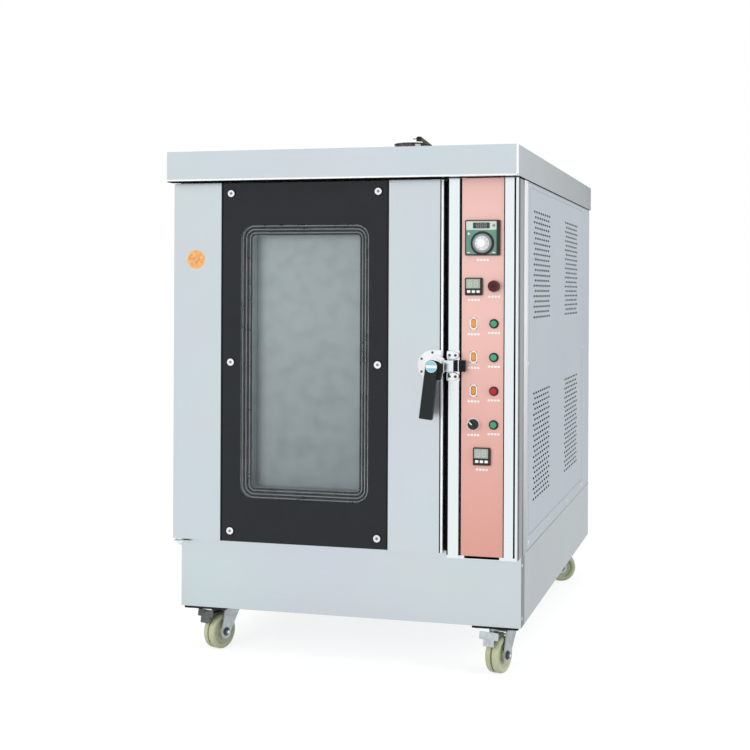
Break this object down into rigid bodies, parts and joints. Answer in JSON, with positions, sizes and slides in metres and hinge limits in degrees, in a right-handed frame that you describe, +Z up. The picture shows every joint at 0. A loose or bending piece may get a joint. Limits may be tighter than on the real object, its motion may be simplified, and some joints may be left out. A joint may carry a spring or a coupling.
{
  "type": "combi oven",
  "caption": "Floor-standing combi oven on swivel casters: glazed side-hinged door with rim latch, control column, fan-heated tray chamber and damped flue.",
  "frame": {"origin": "centre of the overall plan, on the floor under the wheels", "axes": "+X to the right of a person facing the door, +Y to the rear, +Z up"},
  "size_m": [1.012, 1.721, 1.571],
  "materials": {
    "casing_steel": "satin stainless sheet",
    "chamber_steel": "bright stainless sheet",
    "frame_steel": "painted tube",
    "zinc": "zinc plated",
    "flue_steel": "heat-darkened steel",
    "wool": "mineral wool",
    "panel_rose": "rose film on aluminium",
    "instrument": "black moulded plastic",
    "dial_silver": "satin",
    "green_lens": "clear moulded",
    "red_lens": "clear moulded",
    "white_plastic": "moulded",
    "rocker_orange": "moulded",
    "grip_black": "moulded",
    "fitting_chrome": "polished",
    "door_glass": "tinted float glass",
    "seal": "silicone",
    "nylon": "ivory nylon"
  },
  "bodies": {
    "cabinet": {"base_frame": "frame_steel", "plinth": "casing_steel", "left_panel": "casing_steel", "right_panel": "casing_steel", "rear_panel": "casing_steel", "top_cap": "casing_steel", "front_frame": "casing_steel", "control_column": "casing_steel", "chamber_liner": "chamber_steel", "chamber_insulation": "wool", "fan_baffle": "chamber_steel", "heater_rings": "flue_steel", "fan_motor": "frame_steel", "steam_injector": "chamber_steel", "tray_racks": "chamber_steel", "flue_pipe": "flue_steel", "control_panel": "panel_rose", "temp_controller": "instrument", "timers": "instrument", "green_lamps": "green_lens", "red_lamps": "red_lens", "switch_bezels": "white_plastic", "control_gear": "instrument", "keeper": "fitting_chrome", "door_hinges": "fitting_chrome", "panel_screws": "fitting_chrome", "caster_plates": "zinc"},
    "door": {"door_shell": "casing_steel", "door_inner_pan": "casing_steel", "outer_glass": "door_glass", "inner_glass": "door_glass", "window_frame": "instrument", "glass_studs": "fitting_chrome", "door_gasket": "seal", "latch_body": "fitting_chrome"},
    "handle": {"handle_lever": "grip_black"},
    "bolt": {"latch_bolt": "fitting_chrome"},
    "dial": {"temp_dial": "dial_silver"},
    "selector": {"selector_knob": "grip_black"},
    "damper": {"damper": "flue_steel"},
    "fan": {"fan_wheel": "chamber_steel"},
    "rocker_1": {"rocker_1": "rocker_orange"},
    "rocker_2": {"rocker_2": "rocker_orange"},
    "rocker_3": {"rocker_3": "rocker_orange"},
    "upper_timer_button_1": {"upper_timer_button_1": "white_plastic"},
    "upper_timer_button_2": {"upper_timer_button_2": "white_plastic"},
    "upper_timer_button_3": {"upper_timer_button_3": "white_plastic"},
    "lower_timer_button_1": {"lower_timer_button_1": "white_plastic"},
    "lower_timer_button_2": {"lower_timer_button_2": "white_plastic"},
    "lower_timer_button_3": {"lower_timer_button_3": "white_plastic"},
    "front_left_caster": {"front_left_fork": "zinc"},
    "front_left_wheel": {"front_left_wheel": "nylon"},
    "front_left_brake": {"front_left_brake": "zinc"},
    "front_right_caster": {"front_right_fork": "zinc"},
    "front_right_wheel": {"front_right_wheel": "nylon"},
    "front_right_brake": {"front_right_brake": "zinc"},
    "rear_left_caster": {"rear_left_fork": "zinc"},
    "rear_left_wheel": {"rear_left_wheel": "nylon"},
    "rear_right_caster": {"rear_right_fork": "zinc"},
    "rear_right_wheel": {"rear_right_wheel": "nylon"}
  },
  "joints": [
    {"name": "door_swing", "type": "hinge", "parent": "cabinet", "child": "door", "pos_m": [-0.485, -0.7615, 0.849], "axis": [0, 0, -1], "range_deg": [0, 115]},
    {"name": "handle_turn", "type": "hinge", "parent": "door", "child": "handle", "pos_m": [0.2785, -0.8255, 0.851], "axis": [0, 1, 0], "range_deg": [0, 60]},
    {"name": "bolt_slide", "type": "slide", "parent": "door", "child": "bolt", "axis": [-1, 0, 0], "range_m": [0, 0.014]},
    {"name": "dial_turn", "type": "hinge", "parent": "cabinet", "child": "dial", "pos_m": [0.402, -0.7885, 1.183], "axis": [0, 1, 0], "range_deg": [0, 300]},
    {"name": "selector_turn", "type": "hinge", "parent": "cabinet", "child": "selector", "pos_m": [0.378, -0.7805, 0.693], "axis": [0, 1, 0], "range_deg": [0, 90]},
    {"name": "rocker_1_tilt", "type": "hinge", "parent": "cabinet", "child": "rocker_1", "pos_m": [0.378, -0.7765, 0.966], "axis": [1, 0, 0], "range_deg": [0, 14]},
    {"name": "rocker_2_tilt", "type": "hinge", "parent": "cabinet", "child": "rocker_2", "pos_m": [0.378, -0.7765, 0.875], "axis": [1, 0, 0], "range_deg": [0, 14]},
    {"name": "rocker_3_tilt", "type": "hinge", "parent": "cabinet", "child": "rocker_3", "pos_m": [0.378, -0.7765, 0.784], "axis": [1, 0, 0], "range_deg": [0, 14]},
    {"name": "upper_timer_button_1_press", "type": "slide", "parent": "cabinet", "child": "upper_timer_button_1", "axis": [0, 1, 0], "range_m": [0, 0.0012], "stiffness_N_per_m": 400},
    {"name": "upper_timer_button_2_press", "type": "slide", "parent": "cabinet", "child": "upper_timer_button_2", "axis": [0, 1, 0], "range_m": [0, 0.0012], "stiffness_N_per_m": 400},
    {"name": "upper_timer_button_3_press", "type": "slide", "parent": "cabinet", "child": "upper_timer_button_3", "axis": [0, 1, 0], "range_m": [0, 0.0012], "stiffness_N_per_m": 400},
    {"name": "lower_timer_button_1_press", "type": "slide", "parent": "cabinet", "child": "lower_timer_button_1", "axis": [0, 1, 0], "range_m": [0, 0.0012], "stiffness_N_per_m": 400},
    {"name": "lower_timer_button_2_press", "type": "slide", "parent": "cabinet", "child": "lower_timer_button_2", "axis": [0, 1, 0], "range_m": [0, 0.0012], "stiffness_N_per_m": 400},
    {"name": "lower_timer_button_3_press", "type": "slide", "parent": "cabinet", "child": "lower_timer_button_3", "axis": [0, 1, 0], "range_m": [0, 0.0012], "stiffness_N_per_m": 400},
    {"name": "damper_turn", "type": "hinge", "parent": "cabinet", "child": "damper", "pos_m": [0, 0.0465, 1.536], "axis": [1, 0, 0], "range_deg": [0, 45]},
    {"name": "fan_spin", "type": "hinge", "parent": "cabinet", "child": "fan", "pos_m": [-0.103, 0.1545, 0.85], "axis": [0, 1, 0], "continuous": true},
    {"name": "front_left_swivel", "type": "hinge", "parent": "cabinet", "child": "front_left_caster", "pos_m": [-0.3945, -0.62, 0.1187], "axis": [0, 0, 1], "continuous": true},
    {"name": "front_left_roll", "type": "hinge", "parent": "front_left_caster", "child": "front_left_wheel", "pos_m": [-0.40647, -0.65289, 0.051], "axis": [0.9397, -0.342, 0], "continuous": true},
    {"name": "front_left_brake_press", "type": "hinge", "parent": "front_left_caster", "child": "front_left_brake", "pos_m": [-0.40613, -0.65195, 0.108], "axis": [0.9397, -0.342, 0], "range_deg": [0, 12]},
    {"name": "front_right_swivel", "type": "hinge", "parent": "cabinet", "child": "front_right_caster", "pos_m": [0.4415, -0.649, 0.1187], "axis": [0, 0, 1], "continuous": true},
    {"name": "front_right_roll", "type": "hinge", "parent": "front_right_caster", "child": "front_right_wheel", "pos_m": [0.43244, -0.68281, 0.051], "axis": [0.9659, -0.2588, 0], "continuous": true},
    {"name": "front_right_brake_press", "type": "hinge", "parent": "front_right_caster", "child": "front_right_brake", "pos_m": [0.4327, -0.68184, 0.108], "axis": [0.9659, -0.2588, 0], "range_deg": [0, 12]},
    {"name": "rear_left_swivel", "type": "hinge", "parent": "cabinet", "child": "rear_left_caster", "pos_m": [-0.3955, 0.5805, 0.1187], "axis": [0, 0, 1], "continuous": true},
    {"name": "rear_left_roll", "type": "hinge", "parent": "rear_left_caster", "child": "rear_left_wheel", "pos_m": [-0.37543, 0.55183, 0.051], "axis": [0.8192, 0.5736, 0], "continuous": true},
    {"name": "rear_right_swivel", "type": "hinge", "parent": "cabinet", "child": "rear_right_caster", "pos_m": [0.3955, 0.5805, 0.1187], "axis": [0, 0, 1], "continuous": true},
    {"name": "rear_right_roll", "type": "hinge", "parent": "rear_right_caster", "child": "rear_right_wheel", "pos_m": [0.42997, 0.58658, 0.051], "axis": [-0.1736, 0.9848, 0], "continuous": true}
  ],
  "couplings": [
    {"joint": "bolt_slide", "follows": "handle_turn", "m_per_rad": 0.013356}
  ]
}
